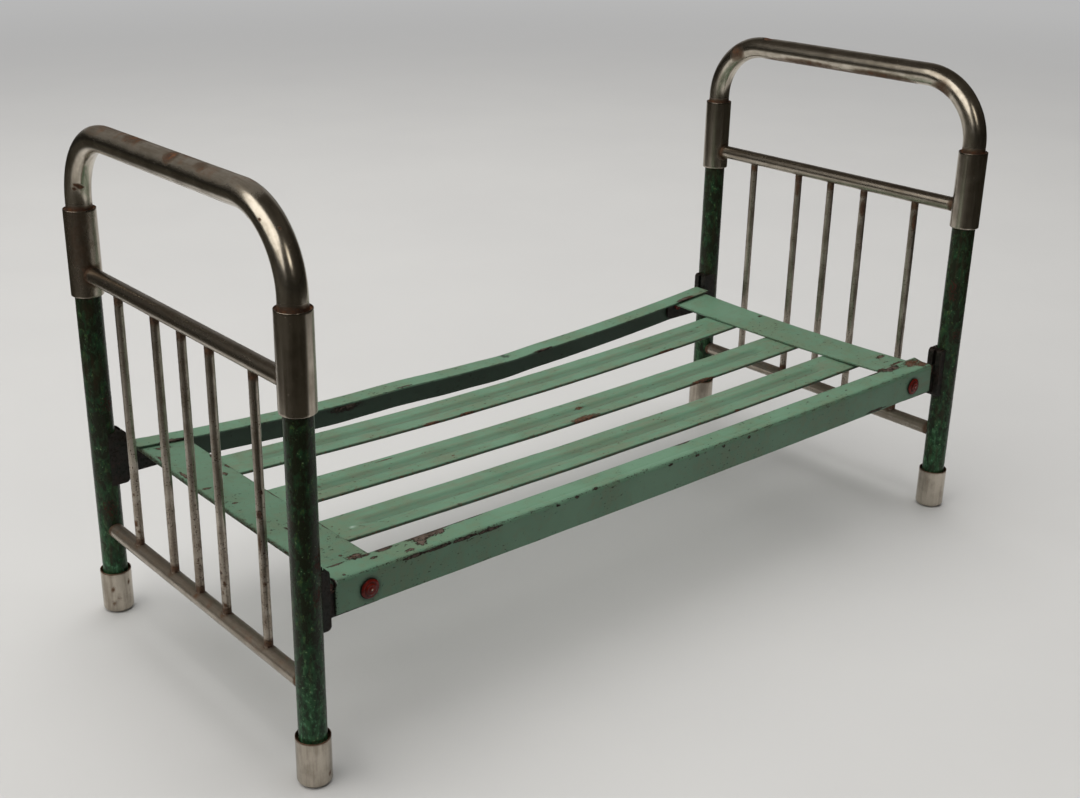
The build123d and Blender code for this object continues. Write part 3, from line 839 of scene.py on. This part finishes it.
# ------------------------------------------------------------------ end frames
def hoop_path(x, half_width, foot_z, top_z, bend):
    """Points along an upside-down U with quarter-circle corners."""
    half = [Vector((x, -half_width, z)) for z in steps(foot_z, top_z - bend, 1.2)]
    for angle in steps(0, math.pi / 2, 1.2 / bend)[1:]:
        y = -half_width + bend * (1 - math.cos(angle))
        half.append(Vector((x, y, top_z - bend + bend * math.sin(angle))))
    half += [Vector((x, y, top_z)) for y in steps(-half_width + bend, 0, 1.2)[1:]]
    other = [Vector((x, -point.y, point.z)) for point in reversed(half[:-1])]
    return half + other


def make_bow(end):
    node = f"{end}_bow"
    low, high, radius, x, _ = upright(node)
    path = hoop_path(x, high.y - radius, low.z, high.z - radius, BOW_BEND)
    collar_top = box_mm(f"{end}_sleeve_front")[1].z
    spots = bow_wear(node, path, radius, ENDS[end])
    straight = high.y - radius - BOW_BEND
    nick = place_on_bow(path, radius, ENDS[end], *NICK)
    nick_depth, pitted = (0.45, 0.80) if end == "head" else (0.0, 0.45)

    def relief(point):
        dent = nick_depth * hump((point - nick).length, 0, 2.4)
        return below(0.035 * wave(point, 14, 1) + 0.02 * wave(point, 4, 2), 0.055) - dent

    def wear(point):
        seat = 1.05 * smooth_step(point.z, collar_top + 3.6, collar_top + 0.2)
        underneath = pitted * smooth_step(point.z - (high.z - 2 * radius), 3.0, 0.8)
        underneath *= smooth_step(abs(point.y), straight + 2, straight - 10)
        return max(seat, spots(point), underneath)

    # Dust and painted sheen along the bow's top, full on the foot bow.
    def dust_and_sheen(point):
        share = 1.0 if end == "foot" else 0.4
        return share * smooth_step(point.z, high.z - 1.2 * radius, high.z - 0.1 * radius)

    mesh = pipe_mesh(path, radius, TUBE_WALL, relief, around=64)
    add_piece(node, mesh, BOW_NICKEL, {"wear": wear, "dust_and_sheen": dust_and_sheen})


def make_post(end, side):
    node = f"{end}_post_{side}"
    low, high, radius, x, y = upright(node)
    path = [Vector((x, y, z)) for z in steps(low.z, high.z, 2.0)]
    cup_top = box_mm(f"{end}_ferrule_{side}")[1].z
    sleeve_bottom = box_mm(f"{end}_sleeve_{side}")[0].z
    spots = node_wear(node)
    bar_z = middle_of(f"{end}_lower_crossbar", "z")
    bar_hole = Vector((x, y - SIDES[side] * radius, bar_z))

    def relief(point):
        return 0.03 * wave(point, 9, 3) + 0.02 * wave(point, 2.5, 4)

    def wear(point):
        at_cup = 0.8 * hump(point.z, cup_top, 1.4)
        at_sleeve = 0.9 * hump(point.z, sleeve_bottom, 2.2)
        at_bar = 0.9 * hump((point - bar_hole).length, 0, 5.5)
        return max(at_cup, at_sleeve, at_bar, spots(point))

    mesh = pipe_mesh(path, radius, TUBE_WALL, relief)
    add_piece(node, mesh, ENAMEL, {"wear": wear})


def collar_rim(radius, bore, high_z, recess):
    """Outline of a collar's thin rim, from its outer wall to a step down to the tube."""
    tip = RIM / 2
    rim = arc(radius - tip, high_z - tip, tip, 0, 180, 6)
    return rim + [(radius - RIM, high_z - recess), (bore, high_z - recess - 0.2)]


def make_sleeve(end, side):
    node = f"{end}_sleeve_{side}"
    low, high, radius, x, y = upright(node)
    centre = Vector((x, y, 0))
    bore = upright(f"{end}_bow")[2] + COLLAR_GAP
    tip = RIM / 2
    profile = [(bore, low.z + 1.2), (radius - RIM, low.z + 1.0)]
    profile += arc(radius - tip, low.z + tip, tip, 180, 360, 6)
    profile += [(radius, z) for z in steps(low.z + 1, high.z - 1, 3.0)]
    profile += collar_rim(radius, bore, high.z, 0.4)
    profile += [(bore, z) for z in steps(high.z - 3, low.z + 3, 8.0)]
    bar_z = middle_of(f"{end}_upper_crossbar", "z")
    bar_hole = Vector((x, y - SIDES[side] * radius, bar_z))
    spots = node_wear(node)

    def relief(point):
        return below(0.02 * wave(point, 12, 5), 0.02)

    def wear(point):
        inside = (point.xy - centre.xy).length < radius - 0.3
        rim = 0.30 * max(hump(point.z, high.z, 0.5), hump(point.z, low.z, 0.6))
        at_bar = 1.30 * hump((point - bar_hole).length, 0, 5.4)
        return 1.2 if inside else max(rim, at_bar, spots(point))

    mesh = turned_mesh(centre, Z_AXIS, profile, 64, relief, closed=True)
    add_piece(node, mesh, COLLAR_NICKEL, {"wear": wear})


def make_ferrule(end, side):
    node = f"{end}_ferrule_{side}"
    low, high, radius, x, y = upright(node)
    centre = Vector((x, y, 0))
    post_low, _, post_radius, *_ = upright(f"{end}_post_{side}")
    bore = post_radius + COLLAR_GAP
    floor_z = post_low.z - COLLAR_GAP
    round_r = 1.8
    profile = [(0.3, low.z), (radius / 2, low.z)]
    profile += arc(radius - round_r, low.z + round_r, round_r, 270, 360, 8)
    profile += [(radius, z) for z in steps(low.z + round_r + 1, high.z - 1, 2.5)]
    profile += collar_rim(radius, bore, high.z, 2.4)
    profile += [(bore, floor_z + 0.2), (bore - 0.2, floor_z), (0.3, floor_z)]
    spots = node_wear(node)

    def relief(point):
        return below(0.03 * wave(point, 8, 6), 0.03)

    def wear(point):
        inside = (point.xy - centre.xy).length < radius - 0.3 and point.z > low.z + 3
        rim = 0.85 * hump(point.z, high.z, 0.9)
        base = 0.55 * hump(point.z, low.z, 1.0)
        return 1.2 if inside else max(rim, base, spots(point))

    mesh = turned_mesh(centre, Z_AXIS, profile, 64, relief, closed=False)
    add_piece(node, mesh, COLLAR_NICKEL, {"wear": wear})


def make_crossbar(end, level):
    node = f"{end}_{level}_crossbar"
    low, high = box_mm(node)
    radius = (high.z - low.z) / 2
    x, z = middle(low.x, high.x), middle(low.z, high.z)
    path = [Vector((x, y, z)) for y in steps(low.y, high.y, 2.0)]
    collar = "sleeve" if level == "upper" else "post"
    inner_y = box_mm(f"{end}_{collar}_back")[0].y
    spindle_y = [middle_of(f"{end}_spindle_{number}", "y") for number in SPINDLES]
    joint_z = low.z if level == "upper" else high.z
    spots = node_wear(node)

    def relief(point):
        return 0.03 * wave(point, 10, 7) + 0.015 * wave(point, 3, 8)

    def wear(point):
        at_end = 0.95 * smooth_step(abs(point.y), inner_y - 3.5, inner_y + 0.5)
        near = min(abs(point.y - y) for y in spindle_y)
        at_spindle = 0.8 * hump(near, 0, 2.8) * hump(point.z - joint_z, 0, 2.2)
        return max(at_end, at_spindle, 0.12, spots(point))

    # Dust and painted sheen along the bar's top, stronger on the lower bar.
    def dust_and_sheen(point):
        share = 0.9 if level == "lower" else 0.35
        return share * smooth_step(point.z, z - 0.5 * radius, z + 0.7 * radius)

    mesh = pipe_mesh(path, radius, BAR_WALL, relief, around=36)
    add_piece(node, mesh, BAR_NICKEL, {"wear": wear, "dust_and_sheen": dust_and_sheen})


def make_spindle(end, number):
    node = f"{end}_spindle_{number}"
    low, high, radius, x, y = upright(node)
    lean = 0.35 * wave(Vector((x, y, 0)), 7, 9)

    def bowed(z):
        share = (z - low.z) / (high.z - low.z)
        return y + lean * math.sin(math.pi * share)

    path = [Vector((x, bowed(z), z)) for z in steps(low.z, high.z, 1.2)]
    spots = node_wear(node)
    seats = (low.z + 3.0, high.z - 3.0)

    def relief(point):
        return 0.035 * wave(point, 1.6, 10) - 0.05 * smooth_step(wave(point, 2.6, 11), 0.25, 0.6)

    def wear(point):
        at_seat = 0.9 * max(hump(point.z, seat, 2.4) for seat in seats)
        low_down = 0.30 * smooth_step(point.z, 120, 55)
        return max(at_seat, low_down, spots(point))

    rings = tube_rings(path, radius, 24, relief)
    mesh = ring_mesh(rings, closed=False)
    add_piece(node, mesh, SPINDLE_NICKEL, {"wear": wear})


# ------------------------------------------------------------------ base
def distances(*away):
    """The strongest edge mark from several distances in millimetres."""
    return max(math.exp(-abs(distance) / 0.9) for distance in away)


def make_rail(side):
    """Angle rail: a flange, a rounded fold and a web, along the rail's own sag."""
    node = f"{side}_side_rail"
    low, high = box_mm(node)
    out = SIDES[side]
    outer_y = high.y if out > 0 else low.y
    flange = high.y - low.y
    height = top_of(node)
    probe_y = outer_y - out * flange / 2
    line = curve_through([(x, height(x, probe_y)) for x in (low.x + 2, 0, high.x - 2)])
    web = line(0) - low.z
    bend = RAIL_FOLD

    section = [(across, 0.0, 0.0, -1.0) for across in steps(flange, bend, 0.55)]
    for k in range(1, 8):
        angle = math.pi / 2 * k / 8
        section.append((bend - bend * math.sin(angle), bend * math.cos(angle) - bend,
                        math.sin(angle), -math.cos(angle)))
    section += [(0.0, up, 1.0, 0.0) for up in steps(-bend, -web, 0.9)]

    def shaped(x, across, up):
        """Small bends and dents of the real sheet: how far a point moves down and in."""
        crease = 0.0
        if side == "front":
            start, full, fading, stop = CREASE_RUN
            run = smooth_step(x, start, full) * smooth_step(x, stop, fading)
            crease = 0.22 * run * hump(across, 4.3, 0.45)
            crease -= 0.9 * smooth_step(x, *FLANGE_BEND) * smooth_step(across, 6, 12)
            crease += 0.35 * hump(x, FOLD_PIMPLE, 2.0) * hump(across + up, 0.5, 2.5)
        else:
            crease -= 1.2 * hump(x, BACK_DENT, 30) - 0.7 * hump(x, BACK_BUMP, 16)
        return crease

    def place(x, across, up, inward, downward, depth):
        at = Vector((x, outer_y, 40 + up + across))
        ripple = 0.10 * wave(at, 34, 12) + 0.04 * wave(at, 8, 13)
        z = line(x) + up - shaped(x, across, up)
        if up <= -web + 0.01:
            z += 0.12 * wave(at, 16, 14)
        across += inward * (depth + ripple)
        return Vector((x, outer_y - out * across, z + downward * (depth + ripple)))

    spots = node_wear(node)

    rivet_boxes = [box_mm(f"rail_rivet_{end}_{side}") for end in ENDS]
    rivets = [middle(*corners).xz for corners in rivet_boxes]
    rivet_radius = (rivet_boxes[0][1].x - rivet_boxes[0][0].x) / 2

    def edge(point):
        across = abs(outer_y - point.y)
        up = point.z - line(point.x)
        from_fold = math.hypot(across - 0.6, up + 0.6)
        from_inner = math.hypot(across - flange, up + SHEET / 2)
        from_bottom = math.hypot(across - SHEET / 2, up + web)
        from_ends = min(point.x - low.x, high.x - point.x)
        return distances(from_fold, from_inner, from_bottom, from_ends)

    # Painted shade and grime: the rail's hidden inner face is painted dark, fully on the back
    # rail, for the flange's shadow and for grime; a dark ring of grime goes round each rivet.
    def shade(point):
        across = abs(outer_y - point.y)
        up = point.z - line(point.x)
        hidden = across > SHEET - 0.3 and up < -SHEET + 0.3
        if hidden:
            return 1.0 if side == "back" else 0.35
        near = min((point.xz - rivet).length for rivet in rivets)
        return 0.8 * hump(near, rivet_radius + 0.1, 0.8) if across < 0.3 else 0.0

    # Painted highlight: a pale spot at the cut end of the fold stands in for the bright crescent
    # of light there.
    nick = Vector((low.x, outer_y - out * 0.5, line(low.x) - 0.8))

    def painted_highlight(point):
        return 1.2 * hump((point - nick).length, 0, 0.7)

    def rusty(point):
        return smooth_step(point.x, *RAIL_END_RUST)

    marks = {"wear": spots, "edge": edge, "shade": shade, "painted_highlight": painted_highlight, "rusty": rusty}
    mesh = sheet_mesh(steps(low.x, high.x, STATION), section, place, SHEET)
    add_piece(node, mesh, SAGE, marks, soften=CUT_EDGE)


def folded_section(half, fold, lip, spacing):
    """Half of a sheet section: level, then turned down at its edge.

    Each point is its distance from the middle, its height, and the inward direction.
    """
    section = [(across, 0.0, 0.0, -1.0) for across in steps(0, half - fold, spacing)]
    for k in range(1, 6):
        angle = math.pi / 2 * k / 6
        section.append((half - fold + fold * math.sin(angle), fold * math.cos(angle) - fold,
                        -math.sin(angle), -math.cos(angle)))
    section += [(half, up, -1.0, 0.0) for up in (-fold, -lip)]
    return section


def make_slat(number):
    """Slat with a pressed groove that runs out before the end plates."""
    node = f"slat_{number}"
    low, high = box_mm(node)
    y = middle(low.y, high.y)
    half = (high.y - low.y) / 2
    height = top_of(node)
    beside = y + half - 3
    line = curve_through([(x, height(x, beside)) for x in (low.x + 1, 0, high.x - 1)])
    plate_edge = {"foot": box_mm("foot_end_plate")[1].x, "head": box_mm("head_end_plate")[0].x}
    right = folded_section(half, SLAT_FOLD, SLAT_LIP, 0.5)
    left = [(-across, up, -inward, down) for across, up, inward, down in right[:0:-1]]
    section = left + right

    def groove(x, across):
        start = plate_edge["foot"] + GROOVE_START
        stop = plate_edge["head"] - GROOVE_START
        run = smooth_step(x, start, start + GROOVE_RUN_OUT)
        run *= smooth_step(x, stop, stop - GROOVE_RUN_OUT)
        return GROOVE_DEPTH * run * smooth_step(abs(across), GROOVE_HALF, GROOVE_FLOOR)

    # The first slat's paint has a blister, its place set from the photo.
    blister = Vector((plate_edge["foot"] + GROOVE_START - 2, y - 2.4, 0))

    def place(x, across, up, inward, downward, depth):
        at = Vector((x, y + across, 0))
        free = 1 - (x / high.x) ** 2
        ripple = free * (0.22 * wave(at, 45, 15) + 0.05 * wave(at, 9, 16))
        pip = 0.32 * hump((at - blister).length, 0, 0.9) if number == 1 else 0.0
        sideways = 0.25 * free * wave(Vector((x, number * 9, 0)), 50, 17)
        z = line(x) + up - groove(x, across) + ripple + pip + downward * depth
        return Vector((x, y + sideways + across + inward * depth, z))

    spots = node_wear(node)

    def edge(point):
        across = half - abs(point.y - y)
        return distances(math.hypot(across, point.z - line(point.x) + SLAT_LIP / 2))

    # Painted shade: the turned-down lips and the pressed groove are painted darker, where shade
    # falls on them.
    def shade(point):
        deep = groove(point.x, point.y - y)
        lip = smooth_step(half - abs(point.y - y), 0.7, 0.1)
        return max(0.75 * lip, 0.32 * smooth_step(deep, 0.2, 0.8))

    # Painted highlight: a pale spot on the first slat's blister stands in for the glint of light
    # on it.
    def painted_highlight(point):
        return hump((point.xy - blister.xy).length, 0, 0.75) if number == 1 else 0.0

    marks = {"wear": spots, "edge": edge, "shade": shade, "painted_highlight": painted_highlight, "rusty": 1.0}
    mesh = sheet_mesh(steps(low.x, high.x, STATION), section, place, SLAT_SHEET)
    add_piece(node, mesh, SAGE, marks, soften=CUT_EDGE)


def make_plate(end):
    """End plate: level across the bed, with its outer edge turned down."""
    node = f"{end}_end_plate"
    low, high = box_mm(node)
    sign = ENDS[end]
    outer_x = high.x if sign > 0 else low.x
    inner_x = low.x if sign > 0 else high.x
    width = high.x - low.x
    height = top_of(node)
    lines = {}
    for label, x in (("outer", outer_x - sign * 0.6), ("inner", inner_x + sign * 0.6)):
        lines[label] = curve_through([(y, height(x, y)) for y in (low.y + 1, 0, high.y - 1)])
    section = folded_section(width, PLATE_FOLD, PLATE_LIP, 0.8)

    def place(y, across, up, inward, downward, depth):
        at = Vector((across, y, sign * 50))
        share = across / width
        ripple = 0.10 * wave(at, 30, 18) + 0.04 * wave(at, 7, 19)
        z = lines["outer"](y) * share + lines["inner"](y) * (1 - share)
        x = inner_x + sign * (across + inward * depth)
        return Vector((x, y, z + up + ripple * hump(y, 0, 80) + downward * depth))

    spots = node_wear(node)

    def edge(point):
        from_outer = abs(point.x - outer_x)
        from_inner = abs(point.x - inner_x)
        return distances(from_outer, from_inner + 0.5)

    def wear(point):
        return max(spots(point), 0.40 if end == "foot" else 0.0)

    # The foot plate is painted a little darker all over: partly grime, partly painted shade.
    shade = 0.20 if end == "foot" else 0.0
    marks = {"wear": wear, "edge": edge, "shade": shade, "rusty": 0.35}
    mesh = sheet_mesh(steps(low.y, high.y, STATION), section, place, SHEET)
    add_piece(node, mesh, SAGE, marks, soften=CUT_EDGE)


def make_rivet(end, side):
    """Rivet with a domed head, a ring pressed in it and a small boss in the middle."""
    node = f"rail_rivet_{end}_{side}"
    low, high = box_mm(node)
    out = SIDES[side]
    rail_low, rail_high = box_mm(f"{side}_side_rail")
    face_y = rail_high.y if out > 0 else rail_low.y
    dome = abs((high.y if out > 0 else low.y) - face_y)
    length = high.y - low.y - dome
    radius = (high.x - low.x) / 2
    centre = Vector((middle(low.x, high.x), face_y, middle(low.z, high.z)))
    tail_r, shank_r, tail = 0.56 * radius, 0.33 * radius, 1.1
    profile = [(0.3, -length), (tail_r - 0.3, -length), (tail_r, 0.3 - length)]
    profile += [(tail_r, tail - length), (shank_r, tail - length + 0.1), (shank_r, 0)]
    profile += [(radius - 0.15, 0), (radius, 0.15), (radius, 0.4)]
    for k in range(1, 31):
        share = 1 - k / 31
        crown = 0.55 + (dome - 0.55) * (1 - share ** 2.4)
        pressed = 0.26 * hump(share, 0.66, 0.10) + 0.20 * hump(share, 0.30, 0.09)
        profile.append((radius * share, crown - pressed))

    def relief(point):
        return below(0.06 * wave(point, 1.7, 22), 0.05)

    def from_axis(point):
        away = math.hypot(point.x - centre.x, point.z - centre.z) / radius
        return away + 0.04 * wave(point, 2.2, 23)

    def wear(point):
        share = from_axis(point)
        # The boss is worn strongly so that it shows pale: partly rubbed paint, partly a painted
        # highlight.
        boss = 0.95 * hump(share, 0.0, 0.19)
        return max(boss, 0.42 * hump(share, 0.48, 0.07))

    def edge(point):
        share = from_axis(point)
        return max(smooth_step(share, 0.86, 1.0), 0.8 * hump(share, 0.62, 0.07))

    mesh = turned_mesh(centre, Vector((0, out, 0)), profile, 56, relief, closed=False)
    add_piece(node, mesh, RIVET_RED, {"wear": wear, "edge": edge})


def dress_iron():
    """The brackets and hook plates keep their CAD shape, with rust."""
    for node, shape in frame["nodes"].items():
        if "bracket" in node or "hook_plate" in node:
            for material_slot in shape.material_slots:
                material_slot.material = IRON


def make_shoulder(end, side):
    """The hook plate's rounded upper corner, which closes the notch at the rail's end."""
    low, high = box_mm(f"hook_plate_{end}_{side}")
    sign = ENDS[end]
    rail_low, rail_high = box_mm(f"{side}_side_rail")
    start = (rail_high if sign > 0 else rail_low).x + sign * 0.1
    y = middle(low.y, high.y)
    outline = [(-2.6, -4.2), (2.4, -4.2), (2.4, 0), (1.2, 0), (0.3, -0.5), (0, -1.5), (-2.6, -2.2)]
    rings = [[Vector((start + sign * along, y + across, high.z + up)) for along, up in outline]
             for across in (-HOOK_SHEET / 2, HOOK_SHEET / 2)]
    skin = f"shoulder_{end}_{side}_skin"
    # The shoulder's iron has more pale flecks, partly painted glints of light on its worn edge.
    data = finish_mesh(ring_mesh(rings, closed=False), skin, SCALED_IRON_AND_GLINTS, {})
    piece = bpy.data.objects.new(f"hook_plate_{end}_{side}_shoulder", data)
    bpy.context.collection.objects.link(piece)
    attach(piece, "base")


# ------------------------------------------------------------------ floor, light and camera
HEADING = 0.676               # the camera's, in radians from +Y towards +X
EVEN_LIGHT = (0.15, 0.15, 0.15)          # on the paint, from all round
BACKDROP = (0.46, 0.46, 0.46)            # what the camera sees past the floor
ROOM_LIGHT = (0.012, 0.011, 0.008)       # what glossy surfaces mirror: the room,
CEILING_LIGHT = (0.048, 0.042, 0.034)     # its ceiling,
WALL_LIGHT = (0.240, 0.232, 0.222)       # and the pale wall behind the bed
TABLE_NEAR = -240.0           # the pale table's ends as light finds them, in millimetres:
TABLE_SIDE = 400.0            # ahead of the origin, and to either side


def make_floor():
    """A floor under the bed's lowest point. The camera sees it plain and pale.

    Light and reflections find a pale table with dark ends, square to the camera's heading.
    """
    size = 12.0
    mesh = bmesh.new()
    bmesh.ops.create_grid(mesh, x_segments=8, y_segments=8, size=size)
    bmesh.ops.translate(mesh, vec=(0, 0, CAD_BOX[0].z - 0.0002), verts=mesh.verts)
    data = bpy.data.meshes.new("floor")
    mesh.to_mesh(data)
    mesh.free()
    f = Finish("pale_floor")
    tone = f.mix(f.noise(160, detail=4), (0.55, 0.55, 0.55), (0.595, 0.595, 0.59))
    east, north = (f.axis(f.place, name) for name in "XY")
    ahead = f.total((east, math.sin(HEADING)), (north, math.cos(HEADING)))
    sideways = f.total((east, math.cos(HEADING)), (north, -math.sin(HEADING)))
    near_end = f.step(ahead, TABLE_NEAR, TABLE_NEAR - 140)
    side_end = f.step(f.math("ABSOLUTE", sideways), TABLE_SIDE, TABLE_SIDE + 160)
    off_table = f.strongest(near_end, side_end)
    seen = f.ray("Camera")
    unseen = f.math("SUBTRACT", 1.0, seen)
    tone = f.mix(f.times(off_table, unseen), tone, (0.032, 0.029, 0.022))
    away = f.vector("LENGTH", {0: f.place}, "Value")
    sweep = f.times(f.step(away, 800.0, 2600.0), seen)
    f.set(Base_Color=f.mix(sweep, tone, (0.0, 0.0, 0.0)))
    f.set(Emission_Color=BACKDROP, Emission_Strength=sweep)
    f.set(Roughness=0.6, Specular_IOR_Level=0.25)
    data.materials.append(f.material)
    floor = bpy.data.objects.new("floor", data)
    bpy.context.collection.objects.link(floor)


def soft_box(name, place, aim, width, height, power, colour=(1, 1, 1)):
    light = bpy.data.lights.new(name, "AREA")
    light.shape = "RECTANGLE"
    light.size = width
    light.size_y = height
    light.energy = power
    light.color = colour
    lamp = bpy.data.objects.new(name, light)
    lamp.location = place
    lamp.rotation_euler = (Vector(aim) - Vector(place)).to_track_quat("-Z", "Y").to_euler()
    bpy.context.collection.objects.link(lamp)
    return lamp


def make_world():
    """A dim warm room for the polished metal to mirror, and even soft light for the paint."""
    world = bpy.data.worlds.new("studio")
    bpy.context.scene.world = world
    world.use_nodes = True
    n = Nodes(world.node_tree)
    direction = n.add("ShaderNodeTexCoord", "Generated")
    heading = (math.sin(HEADING), math.cos(HEADING), 0)
    sides = {0: direction, 1: heading}
    ahead = n.add("ShaderNodeVectorMath", "Value", sides, operation="DOT_PRODUCT")
    room = n.mix(n.ramp(n.axis(direction, "Z"), 0.0, 0.6), ROOM_LIGHT, CEILING_LIGHT)
    mirrored = n.mix(n.ramp(ahead, 0.74, 0.92), room, WALL_LIGHT)
    unseen = n.mix(n.ray("Glossy"), EVEN_LIGHT, mirrored)
    colour = n.mix(n.ray("Camera"), unseen, BACKDROP)
    n.put(n.tree.nodes["Background"].inputs["Color"], colour)


def make_light():
    overhead = soft_box("overhead", (0.2, 0.5, 2.0), (0, 0, 0), 3.0, 2.6, 56, (1.0, 0.985, 0.96))
    overhead.visible_glossy = False
    soft_box("window", (-1.40, 0.05, 1.10), (-0.2, 0, 0.2), 2.1, 1.4, 15.0, (1.0, 0.97, 0.92))
    soft_box("lamp", (-0.37, -1.35, 1.0), (-0.2, 0, 0.2), 0.35, 0.5, 1.2, (1.0, 0.94, 0.84))
    make_world()
    bpy.context.scene.view_settings.view_transform = "Standard"


def make_camera():
    """The camera: its place in metres, and its heading, tilt and roll in radians."""
    yaw, tilt, roll = HEADING, 0.381, 0.003
    flat = math.cos(tilt)
    forward = Vector((math.sin(yaw) * flat, math.cos(yaw) * flat, -math.sin(tilt)))
    level = Vector((math.cos(yaw), -math.sin(yaw), 0))
    upward = level.cross(forward)
    right = math.cos(roll) * level + math.sin(roll) * upward
    up = math.cos(roll) * upward - math.sin(roll) * level
    data = bpy.data.cameras.new("camera")
    data.sensor_width = 36.0
    data.lens = 49.09
    data.shift_x = 0.0556
    data.shift_y = -0.0037
    data.clip_start = 0.01
    data.clip_end = 50
    camera = bpy.data.objects.new("camera", data)
    turn = Matrix((right, up, -forward)).transposed().to_4x4()
    camera.matrix_world = Matrix.Translation((-0.4717, -0.5252, 0.3721)) @ turn
    bpy.context.collection.objects.link(camera)
    bpy.context.scene.camera = camera


# ------------------------------------------------------------------ the bed
for end_name in ENDS:
    make_bow(end_name)
    for side_name in SIDES:
        make_post(end_name, side_name)
        make_sleeve(end_name, side_name)
        make_ferrule(end_name, side_name)
        make_rivet(end_name, side_name)
        make_shoulder(end_name, side_name)
    for bar_level in ("upper", "lower"):
        make_crossbar(end_name, bar_level)
    for spindle_number in SPINDLES:
        make_spindle(end_name, spindle_number)
    make_plate(end_name)
for side_name in SIDES:
    make_rail(side_name)
for slat_number in range(1, 4):
    make_slat(slat_number)
dress_iron()
make_floor()
make_light()
make_camera()
